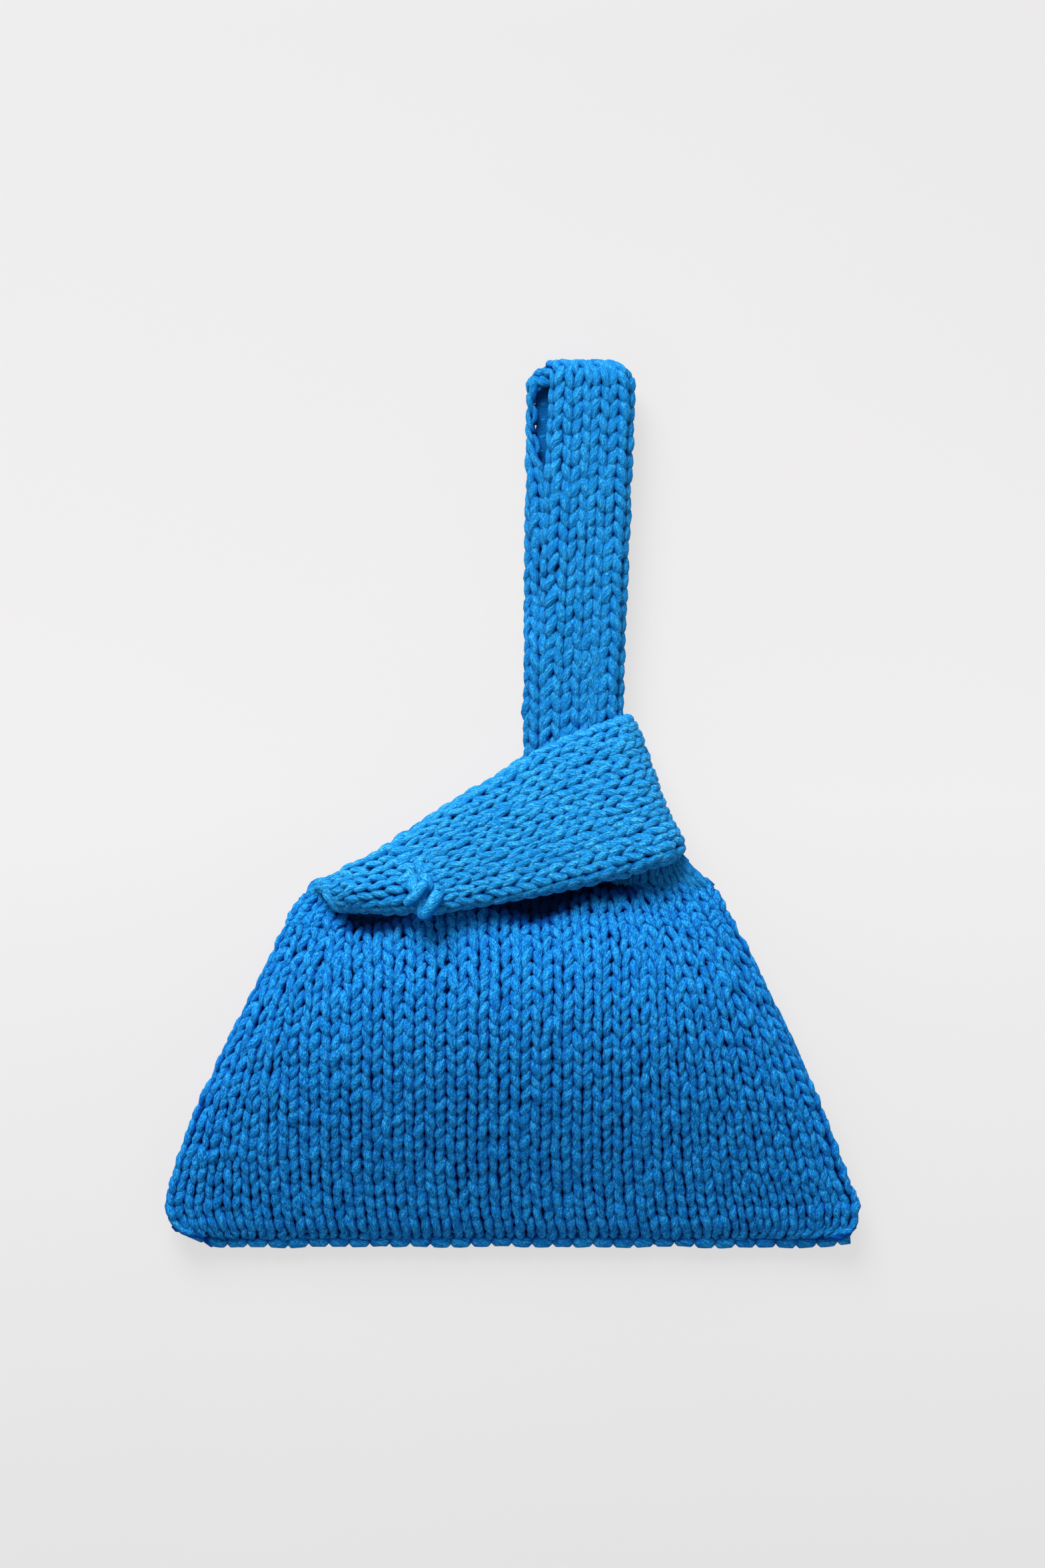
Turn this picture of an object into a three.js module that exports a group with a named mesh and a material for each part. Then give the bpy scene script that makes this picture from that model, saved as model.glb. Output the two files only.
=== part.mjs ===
// A knitted knot bag lying on its back: two shaped panels seamed at the base and sides, with a short
// loop on the left shoulder that is threaded over a long loop handle on the right shoulder.
// Millimetres. +X runs along the base, +Y from the base to the handle, +Z up from the floor.
import * as THREE from "three";

// Driving dimensions
const TOTAL_LENGTH = 422; // base seam to the top of the long handle
const BASE_WIDTH = 330; // widest place of the body, just above the base
const MOUTH_WIDTH = 192; // outline at the mouth, where the shoulders start
const SIDE_BULGE = 5; // swell of each slanted side beyond a straight line
const BODY_HEIGHT = 171; // base to the front mouth
const BODY_DEPTH = 54; // floor to the fullest place of the front panel
const MOUTH_DROP = 28; // how far the front panel sinks again to the mouth, under the short loop
const FULLEST = 0.6; // share of the body height where it starts to sink
const CORNER_RADIUS = 16; // rounded lower corners
const BACK_ROLL = 34; // width of the rounded side of the back panel
const SIDE_SEAM_HEIGHT = 22; // side seam above the floor, at the mouth
const KNIT = 7; // thickness of the knitted fabric
const MOUTH_CLEAR = 18; // from a shoulder to the end of the bound-off chain
const SIDE_SEAM_RADIUS = 1.6; // sewing yarn between the two side edges
const BASE_SEAM_RADIUS = 3.5; // slip-stitched chain that closes the base
const BIND_OFF_RADIUS = 3; // bound-off chain round the mouth
const GAP = 0.3; // clearance between neighbouring pieces

const SHORT_SHOULDER = 14; // width in plan of the left shoulder
const LONG_SHOULDER = 46; // width in plan of the right shoulder

const HANDLE_WIDTH = 39; // long handle strap
const HANDLE_X = 35.5; // middle of the long handle's front strand, halfway up
const HANDLE_LEAN = 5.2; // sideways run of the front strand from its fold line to its top
const BACK_LEAN = 1.1; // the same of the back strand
const HANDLE_STAGGER = 9; // the back strand shows this far to the left of the front one, halfway up
const GATHER_RISE = 66; // front mouth to where the gathered shoulder has become a straight strap
const FOLD_RISE = 121; // front mouth to the line where the long handle flops over
const HANDLE_FLEX = 30; // stretch of the long handle that bends there
const BACK_GRAFT_RISE = 160; // front mouth to the seam in the long handle's back strand

const GRAFT_X = -45; // middle of the short loop's seam, on its front strand
const GRAFT_ABOVE = 8; // the same point above the front mouth
const LOOP_ANGLE = 19.5; // degrees from +X to the run of the short loop
const LOOP_REACH = 125; // seam to the outside of the turned end
const LOOP_END_WIDTH = 74; // width at the turned end
const GRAFT_WIDTH = 40; // width at the seam
const LOOP_SLACK = 3; // room over the long handle at the upper edge of the loop
const LOOP_BOW = 5; // swing of the upper edge, in at the shoulder and out beside the handle
const LOOP_TUCK = 3.9; // rise of the lower edge where the loop joins the shoulder
const LOOP_LIFT = 14; // how much higher the lower edge stands at the turned end
const GRAFT_LIFT = 15; // the same at the seam
const GRAFT_RISE = 9; // rise of the loop's front strand from the turned end to the seam
const LOOP_CROWN = 2.5; // swell across the loop's front strand

const LOOP_FLEX = 15; // stretch of the short loop that gives when it slides
const GRAFT_RADIUS = 3.2; // sewn ridge across a strap
const KNOT_RADIUS = 3.4; // tie-off knot, middle of its yarn
const KNOT_YARN = 1.3;

// Levels that follow from the stack of layers under the short loop
const Y_BASE = -TOTAL_LENGTH / 2;
const Y_TOP = TOTAL_LENGTH / 2;
const Y_PANEL = Y_BASE + 2 * BASE_SEAM_RADIUS + GAP; // lower edge of both panels
const Y_MOUTH = Y_BASE + BODY_HEIGHT;
const Y_CORNER = Y_BASE + CORNER_RADIUS + BASE_SEAM_RADIUS;
const Y_GRAFT = Y_MOUTH + GRAFT_ABOVE;
const Y_GATHER = Y_MOUTH + GATHER_RISE;
const Y_FOLD = Y_MOUTH + FOLD_RISE;
const Y_BACK_GRAFT = Y_MOUTH + BACK_GRAFT_RISE;
const FLOOR_LAYER = KNIT / 2; // middle of a layer that lies on the floor
const LAYER = KNIT + 2 * GAP; // pitch of stacked layers
const FRONT_STRAND = FLOOR_LAYER + 2 * LAYER; // middle of the long handle's front strand
const LOOP_UPPER = FRONT_STRAND + KNIT + LOOP_SLACK; // loop's front strand, upper edge, turned end

const YARN_BLUE = { color: "#1e7fd8", roughness: 0.92, metalness: 0 };
const SEAM_BLUE = { color: "#1a70c4", roughness: 0.92, metalness: 0 };

const lerp = THREE.MathUtils.lerp;
const clamp = THREE.MathUtils.clamp;
const smooth = THREE.MathUtils.smoothstep;

// count + 1 evenly spaced values from a to b
function steps(a, b, count) {
  return Array.from({ length: count + 1 }, (_, i) => lerp(a, b, i / count));
}

// Closed solid between two faces of one sheet. Each face maps (u, v) to a point.
function sheetGeometry(outer, inner, us, vs) {
  const positions = [];
  for (const face of [outer, inner]) {
    for (const v of vs) {
      for (const u of us) positions.push(...face(u, v).toArray());
    }
  }
  const across = us.length;
  const layer = across * vs.length;
  const index = [];
  const quad = (a, b, c, d) => index.push(a, b, c, a, c, d);
  for (let j = 0; j + 1 < vs.length; j++) {
    for (let i = 0; i + 1 < across; i++) {
      const a = j * across + i;
      quad(a, a + 1, a + 1 + across, a + across);
      quad(layer + a, layer + a + across, layer + a + across + 1, layer + a + 1);
    }
  }
  const wall = (a, b) => quad(b, a, a + layer, b + layer);
  for (let i = 0; i + 1 < across; i++) {
    wall(i, i + 1);
    wall(layer - i - 1, layer - i - 2);
  }
  for (let j = 0; j + 1 < vs.length; j++) {
    wall((j + 1) * across, j * across);
    wall((j + 1) * across - 1, (j + 2) * across - 1);
  }
  return facingOut(positions, index);
}

// A geometry whose triangles face away from the solid.
function facingOut(positions, index) {
  const corner = (i) => new THREE.Vector3().fromArray(positions, 3 * index[i]);
  let volume = 0;
  for (let i = 0; i < index.length; i += 3) {
    volume += corner(i).dot(corner(i + 1).cross(corner(i + 2)));
  }
  const turned = volume < 0 ? index.slice().reverse() : index;
  const geometry = new THREE.BufferGeometry();
  geometry.setAttribute("position", new THREE.Float32BufferAttribute(positions, 3));
  geometry.setIndex(turned);
  geometry.computeVertexNormals();
  return geometry;
}

// One face of a strap: its middle surface moved by half the fabric, to side 1 or side -1.
function strapFace(middle, side) {
  const step = 1e-3;
  return (u, v) => {
    const alongU = middle(u + step, v).sub(middle(u - step, v));
    const alongV = middle(u, v + step).sub(middle(u, v - step));
    const normal = alongU.cross(alongV).normalize();
    return middle(u, v).addScaledVector(normal, (side * KNIT) / 2);
  };
}
const strapGeometry = (middle, us, vs) =>
  sheetGeometry(strapFace(middle, 1), strapFace(middle, -1), us, vs);

// Round yarn of one radius along a list of points.
function yarnGeometry(points, radius, count) {
  const section = new THREE.Shape().absarc(0, 0, radius, 0, 2 * Math.PI);
  return new THREE.ExtrudeGeometry(section, {
    steps: count,
    curveSegments: 4,
    bevelEnabled: false,
    extrudePath: new THREE.CatmullRomCurve3(points),
  });
}

// Smooth run from point a, leaving along tangentA, to point b, arriving along tangentB.
function hermite(a, tangentA, b, tangentB, s) {
  const s2 = s * s;
  const s3 = s2 * s;
  return new THREE.Vector3()
    .addScaledVector(a, 2 * s3 - 3 * s2 + 1)
    .addScaledVector(tangentA, s3 - 2 * s2 + s)
    .addScaledVector(b, 3 * s2 - 2 * s3)
    .addScaledVector(tangentB, s3 - s2);
}

const bag = new THREE.Group();
function addPiece(name, geometry, finish) {
  const piece = new THREE.Mesh(geometry, new THREE.MeshStandardMaterial(finish));
  piece.name = name;
  bag.add(piece);
  return piece;
}

// Short loop, in its own run (along, from the seam) and width (across, 0 lower edge to 1 upper edge)
const loopRun = new THREE.Vector3(1, 0, 0).applyAxisAngle(
  new THREE.Vector3(0, 0, 1),
  THREE.MathUtils.degToRad(LOOP_ANGLE),
);
const loopSide = new THREE.Vector3(-loopRun.y, loopRun.x, 0);
function loopPlan(along, across) {
  const share = along / LOOP_REACH;
  const width = lerp(GRAFT_WIDTH, LOOP_END_WIDTH, share);
  const bow = across * LOOP_BOW * Math.sin(1.37 * Math.PI * (share - 0.2));
  const tuck = (1 - across) * LOOP_TUCK * clamp(along / FLEX_START, 0, 1);
  return new THREE.Vector3(GRAFT_X, Y_GRAFT, 0)
    .addScaledVector(loopRun, along)
    .addScaledVector(loopSide, (across - 0.5) * width + bow + tuck);
}

// The loop's back strand lies on the floor just past the back mouth's bound-off edge.
const FLEX_END = -KNIT / 2 - GAP; // where the loop's flexing stretches stop, along its run
const FLEX_START = FLEX_END - LOOP_FLEX;
const Y_BACK_MOUTH = loopPlan(FLEX_START, 0).y - 2 * BIND_OFF_RADIUS - KNIT / 2;

// Body: outline, side seam and crown at one height
function bodySection(y) {
  const taper = clamp((y - Y_CORNER) / (Y_MOUTH - Y_CORNER), 0, 1);
  const low = clamp((Y_CORNER - y) / CORNER_RADIUS, 0, 1);
  const rounding = CORNER_RADIUS * (1 - Math.sqrt(1 - low * low));
  const bulge = SIDE_BULGE * Math.sin(Math.PI * taper);
  const rise = clamp((y - Y_PANEL) / (Y_MOUTH - Y_PANEL), 0, 1);
  const seamLow = KNIT + SIDE_SEAM_RADIUS + GAP;
  const topLow = KNIT + GAP + KNIT;
  const swell = Math.sin((Math.PI / 2) * Math.min(1, rise / 0.7) ** 1.15);
  const sink = Math.max(0, (rise - FULLEST) / (1 - FULLEST)) ** 2.6;
  return {
    halfWidth: lerp(BASE_WIDTH, MOUTH_WIDTH, taper) / 2 + bulge - rounding,
    seamZ: lerp(seamLow, SIDE_SEAM_HEIGHT, Math.sin((Math.PI / 2) * rise)),
    topZ: lerp(topLow, BODY_DEPTH, swell) - MOUTH_DROP * sink,
  };
}

// Front panel: part of an ellipse at each height. angle is pi at the left edge and 0 at the right one.
function frontPoint(angle, y, depth) {
  const { halfWidth, seamZ, topZ } = bodySection(y);
  const low = seamZ + SIDE_SEAM_RADIUS + GAP;
  const x = (halfWidth - depth) * Math.cos(angle);
  return new THREE.Vector3(x, y, low + (topZ - low - depth) * Math.sin(angle));
}

// Back panel: flat on the floor, with rounded sides that rise to the seams.
function backPoint(angle, y, depth) {
  const { halfWidth, seamZ } = bodySection(y);
  const high = seamZ - SIDE_SEAM_RADIUS - GAP;
  const reach = halfWidth - depth;
  const fromEdge = reach * (1 - Math.abs(Math.cos(angle)));
  const roll = clamp(1 - fromEdge / (BACK_ROLL - depth), 0, 1);
  const z = high - (high - depth) * Math.sqrt(1 - roll * roll);
  return new THREE.Vector3(reach * Math.cos(angle), y, z);
}

const PANEL_ANGLES = steps(Math.PI, 0, 26);
const panelRows = (top) => [
  ...steps(Y_PANEL, Y_CORNER, 4),
  ...steps(Y_CORNER, top, 11).slice(1),
];
addPiece(
  "front_panel",
  sheetGeometry(
    (angle, y) => frontPoint(angle, y, 0),
    (angle, y) => frontPoint(angle, y, KNIT),
    PANEL_ANGLES,
    panelRows(Y_MOUTH),
  ),
  YARN_BLUE,
);
addPiece(
  "back_panel",
  sheetGeometry(
    (angle, y) => backPoint(angle, y, 0),
    (angle, y) => backPoint(angle, y, KNIT),
    PANEL_ANGLES,
    panelRows(Y_BACK_MOUTH),
  ),
  YARN_BLUE,
);

// Base seam: the chain that closes the lower edges, against the edge of the back panel
const baseReach = bodySection(Y_PANEL).halfWidth;
const baseSeamZ = BASE_SEAM_RADIUS + GAP;
addPiece(
  "base_seam",
  yarnGeometry(
    steps(-baseReach, baseReach, 4).map(
      (x) => new THREE.Vector3(x, Y_BASE + BASE_SEAM_RADIUS, baseSeamZ),
    ),
    BASE_SEAM_RADIUS,
    12,
  ),
  SEAM_BLUE,
);

// Side seams: sewing yarn between the edges of the two panels
for (const [name, side] of [
  ["left_side_seam", -1],
  ["right_side_seam", 1],
]) {
  const points = steps(Y_PANEL + SIDE_SEAM_RADIUS, Y_BACK_MOUTH, 14).map((y) => {
    const { halfWidth, seamZ } = bodySection(y);
    return new THREE.Vector3(side * (halfWidth - KNIT / 2), y, seamZ);
  });
  addPiece(name, yarnGeometry(points, SIDE_SEAM_RADIUS, 24), SEAM_BLUE);
}

// Angles on a panel's rim where the shoulders end and the mouth begins
const rimAngle = (y, inset, side) => {
  const reach = bodySection(y).halfWidth - KNIT / 2;
  return Math.acos((side * (reach - inset)) / reach);
};

// Bound-off chains along the mouth, between the shoulders
function bindOff(name, point, y) {
  const from = rimAngle(y, SHORT_SHOULDER + MOUTH_CLEAR, -1);
  const to = rimAngle(y, LONG_SHOULDER + MOUTH_CLEAR, 1);
  const points = steps(from, to, 14).map((angle) =>
    point(angle, y, KNIT / 2).setY(y + GAP + BIND_OFF_RADIUS),
  );
  addPiece(name, yarnGeometry(points, BIND_OFF_RADIUS, 20), SEAM_BLUE);
}
bindOff("front_mouth_edge", frontPoint, Y_MOUTH);
bindOff("back_mouth_edge", backPoint, Y_BACK_MOUTH);

function loopHeight(along, across) {
  const share = clamp(along / LOOP_REACH, 0, 1);
  const upper = LOOP_UPPER + GRAFT_RISE * (1 - share);
  const lift = lerp(GRAFT_LIFT, LOOP_LIFT, share);
  return upper + lift * (1 - across) + LOOP_CROWN * (1 - (2 * across - 1) ** 2);
}
const loopFront = (along, across) => loopPlan(along, across).setZ(loopHeight(along, across));
const loopBack = (along, across) => loopPlan(along, across).setZ(FLOOR_LAYER);

// stage 0 to 1 is the back strand, 1 to 2 the turned end and 2 to 3 the front strand
function loopBand(across, stage) {
  const radius = (loopHeight(LOOP_REACH, across) - FLOOR_LAYER) / 2;
  const turn = LOOP_REACH - radius - KNIT / 2;
  if (stage <= 1) return loopBack(lerp(FLEX_END + GAP, turn, stage), across);
  if (stage >= 2) {
    const along = lerp(turn, GRAFT_RADIUS + GAP, stage - 2);
    const settle = smooth(stage, 2, 2.6);
    const z = lerp(loopHeight(LOOP_REACH, across), loopHeight(along, across), settle);
    return loopPlan(along, across).setZ(z);
  }
  const angle = (stage - 1) * Math.PI;
  const point = loopPlan(turn, across).addScaledVector(loopRun, radius * Math.sin(angle));
  return point.setZ(FLOOR_LAYER + radius - radius * Math.cos(angle));
}
const ACROSS = steps(0, 1, 6);
addPiece(
  "short_handle_band",
  strapGeometry(loopBand, ACROSS, [
    ...steps(0, 1, 5),
    ...steps(1, 2, 8).slice(1),
    ...steps(2, 3, 8).slice(1),
  ]),
  YARN_BLUE,
);

// Sewn ridge that joins the short loop's end to the left shoulder
addPiece(
  "short_handle_graft",
  yarnGeometry(
    steps(0, 1, 8).map((across) => loopFront(0, across)),
    GRAFT_RADIUS,
    10,
  ),
  SEAM_BLUE,
);

// Flexing stretches between the left shoulder and the loop
const flexAlong = steps(FLEX_START + GAP, FLEX_END, 4);
addPiece(
  "short_handle_front_flex",
  strapGeometry((across, along) => loopFront(along, across), ACROSS, flexAlong),
  YARN_BLUE,
);
addPiece(
  "short_handle_back_flex",
  strapGeometry((across, along) => loopBack(along, across), ACROSS, flexAlong),
  YARN_BLUE,
);

// Left shoulder: from the panel's rim, turning into the run of the loop. across 1 is the outer edge.
// Each edge leaves the rim along its own direction, in shares of the distance it has to go.
function leftShoulder(name, point, y, strand, innerLeave, outerLeave, innerArrive) {
  const inner = rimAngle(y, SHORT_SHOULDER, -1);
  const face = (depth, side) => {
    const strap = strapFace((across, along) => strand(along, across), side);
    return (across, s) => {
      const start = point(lerp(inner, Math.PI, across), y, depth);
      start.y += GAP;
      const end = strap(across, FLEX_START);
      const span = start.distanceTo(end);
      const leave = innerLeave.clone().lerp(outerLeave, across).multiplyScalar(span);
      const arrive = innerArrive.clone().lerp(loopRun, across).multiplyScalar(span);
      return hermite(start, leave, end, arrive, s);
    };
  };
  const outward = point === frontPoint ? -1 : 1;
  const geometry = sheetGeometry(
    face(0, outward),
    face(KNIT, -outward),
    ACROSS,
    steps(0, 1, 10),
  );
  addPiece(name, geometry, YARN_BLUE);
}
const lapel = new THREE.Vector3(-1.2, -0.4, 1.6);
const outline = new THREE.Vector3(0.9, 0.2, 0);
const level = new THREE.Vector3(1, 0.05, 0);
leftShoulder("short_handle_front_root", frontPoint, Y_MOUTH, loopFront, lapel, outline, level);
const straightUp = new THREE.Vector3(0, 0.8, 0);
const turning = new THREE.Vector3(0.55, 0.55, 0);
leftShoulder(
  "short_handle_back_root",
  backPoint,
  Y_BACK_MOUTH,
  loopBack,
  straightUp,
  turning,
  loopRun,
);

// Tie-off knot of the sewing yarn, at the lower end of the ridge
const knot = addPiece(
  "tie_off_knot",
  new THREE.TorusKnotGeometry(KNOT_RADIUS, KNOT_YARN, 40, 6),
  SEAM_BLUE,
);
knot.position
  .copy(loopFront(0, 0))
  .addScaledVector(loopSide, -(KNOT_RADIUS * 1.5 + KNOT_YARN + GAP));

// Long handle strands. across runs from the left edge (0) to the right edge (1).
// behind is 0 on the front strand and 1 on the back one.
function handlePlan(y, across, behind) {
  const lean = lerp(HANDLE_LEAN, BACK_LEAN, behind) * ((y - Y_FOLD) / (Y_TOP - Y_FOLD) - 0.5);
  const middle = HANDLE_X + lean - HANDLE_STAGGER * behind;
  return new THREE.Vector3(middle + (across - 0.5) * HANDLE_WIDTH, y, 0);
}
const handleFront = (y, across) => handlePlan(y, across, 0).setZ(FRONT_STRAND);
const Y_FLEX_LOW = Y_FOLD - HANDLE_FLEX / 2;
const Y_FLEX_HIGH = Y_FOLD + HANDLE_FLEX / 2;
function handleBack(y, across) {
  const fall = smooth(y, Y_FLEX_LOW, Y_FLEX_HIGH);
  return handlePlan(y, across, 1).setZ(FLOOR_LAYER + LAYER * (1 - fall));
}

// stage 0 to 1 is the front strand, 1 to 2 the fold at the top and 2 to 3 the back strand
const FOLD_RADIUS = (FRONT_STRAND - FLOOR_LAYER) / 2;
const Y_TURN = Y_TOP - FOLD_RADIUS - KNIT / 2;
function handleBand(across, stage) {
  if (stage <= 1) return handleFront(lerp(Y_FLEX_HIGH, Y_TURN, stage), across);
  if (stage >= 2) {
    return handleBack(lerp(Y_TURN, Y_BACK_GRAFT + GRAFT_RADIUS + GAP, stage - 2), across);
  }
  const angle = (stage - 1) * Math.PI;
  const point = handlePlan(Y_TURN, across, smooth(stage, 1, 2));
  point.y += FOLD_RADIUS * Math.sin(angle);
  return point.setZ(FLOOR_LAYER + FOLD_RADIUS + FOLD_RADIUS * Math.cos(angle));
}
addPiece(
  "long_handle_band",
  strapGeometry(handleBand, ACROSS, [
    ...steps(0, 1, 6),
    ...steps(1, 2, 8).slice(1),
    ...steps(2, 3, 4).slice(1),
  ]),
  YARN_BLUE,
);
addPiece(
  "long_handle_graft",
  yarnGeometry(
    steps(0, 1, 4).map((across) => handleBack(Y_BACK_GRAFT, across)),
    GRAFT_RADIUS,
    8,
  ),
  SEAM_BLUE,
);
addPiece(
  "long_handle_back_strap",
  strapGeometry(
    (across, y) => handleBack(y, across),
    ACROSS,
    steps(Y_FLEX_HIGH, Y_BACK_GRAFT - GRAFT_RADIUS - GAP, 3),
  ),
  YARN_BLUE,
);

// Flexing stretches where the long handle flops over
const flexRows = steps(Y_FLEX_LOW + GAP, Y_FLEX_HIGH - GAP, 4);
addPiece(
  "long_handle_front_flex",
  strapGeometry((across, y) => handleFront(y, across), ACROSS, flexRows),
  YARN_BLUE,
);
addPiece(
  "long_handle_back_flex",
  strapGeometry((across, y) => handleBack(y, across), ACROSS, flexRows),
  YARN_BLUE,
);

// Right shoulder: gathered from the panel's rim (s 0 to 1), then a straight strap through the short
// loop (s 1 to 2)
function rightShoulder(name, point, y, strand, level, gather) {
  const inner = rimAngle(y, LONG_SHOULDER, 1);
  const face = (depth, side) => {
    const strap = strapFace((across, along) => strand(along, across), side);
    return (across, s) => {
      if (s > 1) return strap(across, lerp(Y_GATHER, Y_FLEX_LOW, s - 1));
      const start = point(lerp(inner, 0, across), y, depth);
      start.y += GAP;
      const end = strap(across, Y_GATHER);
      const leave = new THREE.Vector3(lerp(-20, -gather, across), lerp(50, 60, across), 0);
      const arrive = new THREE.Vector3(0, lerp(70, 60, across), 0);
      const run = hermite(start, leave, end, arrive, s);
      return run.setZ(lerp(start.z, end.z, smooth(s, 0, level)));
    };
  };
  const outward = point === frontPoint ? 1 : -1;
  const geometry = sheetGeometry(
    face(0, outward),
    face(KNIT, -outward),
    ACROSS,
    [...steps(0, 1, 14), ...steps(1, 2, 3).slice(1)],
  );
  addPiece(name, geometry, YARN_BLUE);
}
rightShoulder("long_handle_front_root", frontPoint, Y_MOUTH, handleFront, 0.8, 105);
rightShoulder("long_handle_back_root", backPoint, Y_BACK_MOUTH, handleBack, 0.3, 180);

export default bag;
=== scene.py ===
import math
import bpy
import numpy as np
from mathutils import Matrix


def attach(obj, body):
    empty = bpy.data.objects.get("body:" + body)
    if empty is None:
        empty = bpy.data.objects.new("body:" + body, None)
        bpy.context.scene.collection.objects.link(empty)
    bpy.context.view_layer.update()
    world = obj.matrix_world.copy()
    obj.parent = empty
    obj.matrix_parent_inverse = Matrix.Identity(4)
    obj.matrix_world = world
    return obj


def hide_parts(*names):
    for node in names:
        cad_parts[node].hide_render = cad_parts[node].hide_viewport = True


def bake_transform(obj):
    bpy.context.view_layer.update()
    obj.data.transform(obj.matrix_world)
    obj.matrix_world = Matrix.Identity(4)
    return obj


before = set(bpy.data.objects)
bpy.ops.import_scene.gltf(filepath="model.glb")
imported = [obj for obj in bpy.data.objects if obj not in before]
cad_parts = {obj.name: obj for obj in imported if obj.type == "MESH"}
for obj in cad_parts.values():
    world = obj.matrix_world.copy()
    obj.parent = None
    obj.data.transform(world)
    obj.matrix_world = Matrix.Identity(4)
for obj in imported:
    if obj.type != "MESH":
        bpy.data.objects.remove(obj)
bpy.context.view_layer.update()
rng = np.random.default_rng(7)


# Front panel
# Hand-knitted stocking stitch in a thick blue cotton tape, worked from the base up and narrowed towards the
# mouth. Every row is one run of yarn pulled in loops through the row below. The base and the sides are sewn
# to the back panel. Lengths are in mm.
KNIT = 7.0  # thickness of the fabric
HALF_KNIT = KNIT / 2
GAP = 0.3  # clearance between neighbouring pieces
TOTAL_LENGTH, BASE_WIDTH, MOUTH_WIDTH, SIDE_BULGE = 422.0, 330.0, 192.0, 5.0
BODY_HEIGHT, BODY_DEPTH, MOUTH_DROP, CORNER_RADIUS = 171.0, 54.0, 28.0, 16.0
FULL_FROM, FULL_EASE = 0.7, 1.15  # share of the height where the panel is full, and how gently it fills
DROP_FROM, DROP_EASE = 0.6, 2.6  # share of the height where it sinks again, and how gently
SIDE_SEAM_HEIGHT, SIDE_SEAM_RADIUS, BASE_SEAM_RADIUS = 22.0, 1.6, 3.5
Y_BASE = -TOTAL_LENGTH / 2
Y_TOP = TOTAL_LENGTH / 2
Y_PANEL = Y_BASE + 2 * BASE_SEAM_RADIUS + GAP
Y_MOUTH = Y_BASE + BODY_HEIGHT
Y_CORNER = Y_BASE + CORNER_RADIUS + BASE_SEAM_RADIUS
LEFT_SWELLS = ((Y_MOUTH - 12, 14, 3.0), (Y_BASE + 40, 40, 3.2))  # height, spread and amount of each
RIGHT_SWELLS = ((Y_MOUTH - 2, 9, 1.6), (Y_BASE + 100, 30, -1.4), (Y_BASE + 10, 24, 2.2), (Y_BASE + 7, 6, 3.0))
SAG_LEFT, SAG_RIGHT, SAG_CHANGE = 12.0, 7.0, (-40, -10)  # drop of the rim, and where it changes over
SAG_STRIP, SAG_DIPS = 11.0, ((-66, 27, 12.0), (10, 18, 8.0))  # height of what drops, and its two deep places
SAG_SHALLOW, SAG_SHALLOW_AT = 5.0, (20, 40)  # less of it drops to the right
SAG_LEFT_END, SAG_RIGHT_END = (-84, -76), (66, 52)
EDGE_BEND, EDGE_BEND_TOP, EDGE_BEND_RUN = 6.0, 6.0, 11.0  # the lowest rows bend down into the base seam
PURL = 1.9  # purl side below the fabric's middle
WALE, SIDE_WALE, ROW = 9.9, 8.6, 6.2  # stitch width in the middle and beside the seams, height of a row


def lerp(a, b, t):
    return a + (b - a) * t


def smooth(x, a, b):
    """0 before a and 1 past b, with an eased step between."""
    t = np.clip((x - a) / (b - a), 0, 1)
    return t * t * (3 - 2 * t)


def swell(x, humps):
    """Sum of round humps, each with its middle, its spread and its amount."""
    return sum(amount * np.exp(-((x - middle) / spread) ** 2) for middle, spread, amount in humps)


def stack(x, y, z):
    return np.stack(np.broadcast_arrays(x, y, z), axis=-1).astype(float)


def unit(v):
    return v / np.maximum(np.linalg.norm(v, axis=-1, keepdims=True), 1e-9)


def run_length(points):
    """Distance of each point from the first, along the row of points."""
    return np.concatenate([[0], np.cumsum(np.linalg.norm(np.diff(points, axis=0), axis=1))])


def body_section(y):
    """Half width of the body, height of its side seams and height of its crown at y."""
    taper = np.clip((y - Y_CORNER) / (Y_MOUTH - Y_CORNER), 0, 1)
    low = np.clip((Y_CORNER - y) / CORNER_RADIUS, 0, 1)
    rounding = CORNER_RADIUS * (1 - np.sqrt(1 - low * low))
    rise = np.clip((y - Y_PANEL) / (Y_MOUTH - Y_PANEL), 0, 1)
    seam_low = KNIT + SIDE_SEAM_RADIUS + GAP
    top_low = KNIT + GAP + KNIT
    fill = np.sin(np.pi / 2 * np.minimum(rise / FULL_FROM, 1) ** FULL_EASE)
    drop = np.maximum((rise - DROP_FROM) / (1 - DROP_FROM), 0) ** DROP_EASE
    half = lerp(BASE_WIDTH, MOUTH_WIDTH, taper) / 2 + SIDE_BULGE * np.sin(np.pi * taper) - rounding
    seam = lerp(seam_low, SIDE_SEAM_HEIGHT, np.sin(np.pi / 2 * rise))
    top = lerp(top_low, BODY_DEPTH, fill) - MOUTH_DROP * drop
    return half, seam, top


def mouth_sag(x, y):
    """Share by which the front panel's rim has dropped into the mouth, to the left and right of the short
    loop's seam. The same share paints shadow into the yarn there."""
    start = Y_MOUTH - SAG_STRIP - swell(x, SAG_DIPS) + SAG_SHALLOW * smooth(x, *SAG_SHALLOW_AT)
    return smooth(y - start, -3, 4) * smooth(x, *SAG_LEFT_END) * smooth(x, *SAG_RIGHT_END)


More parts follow.
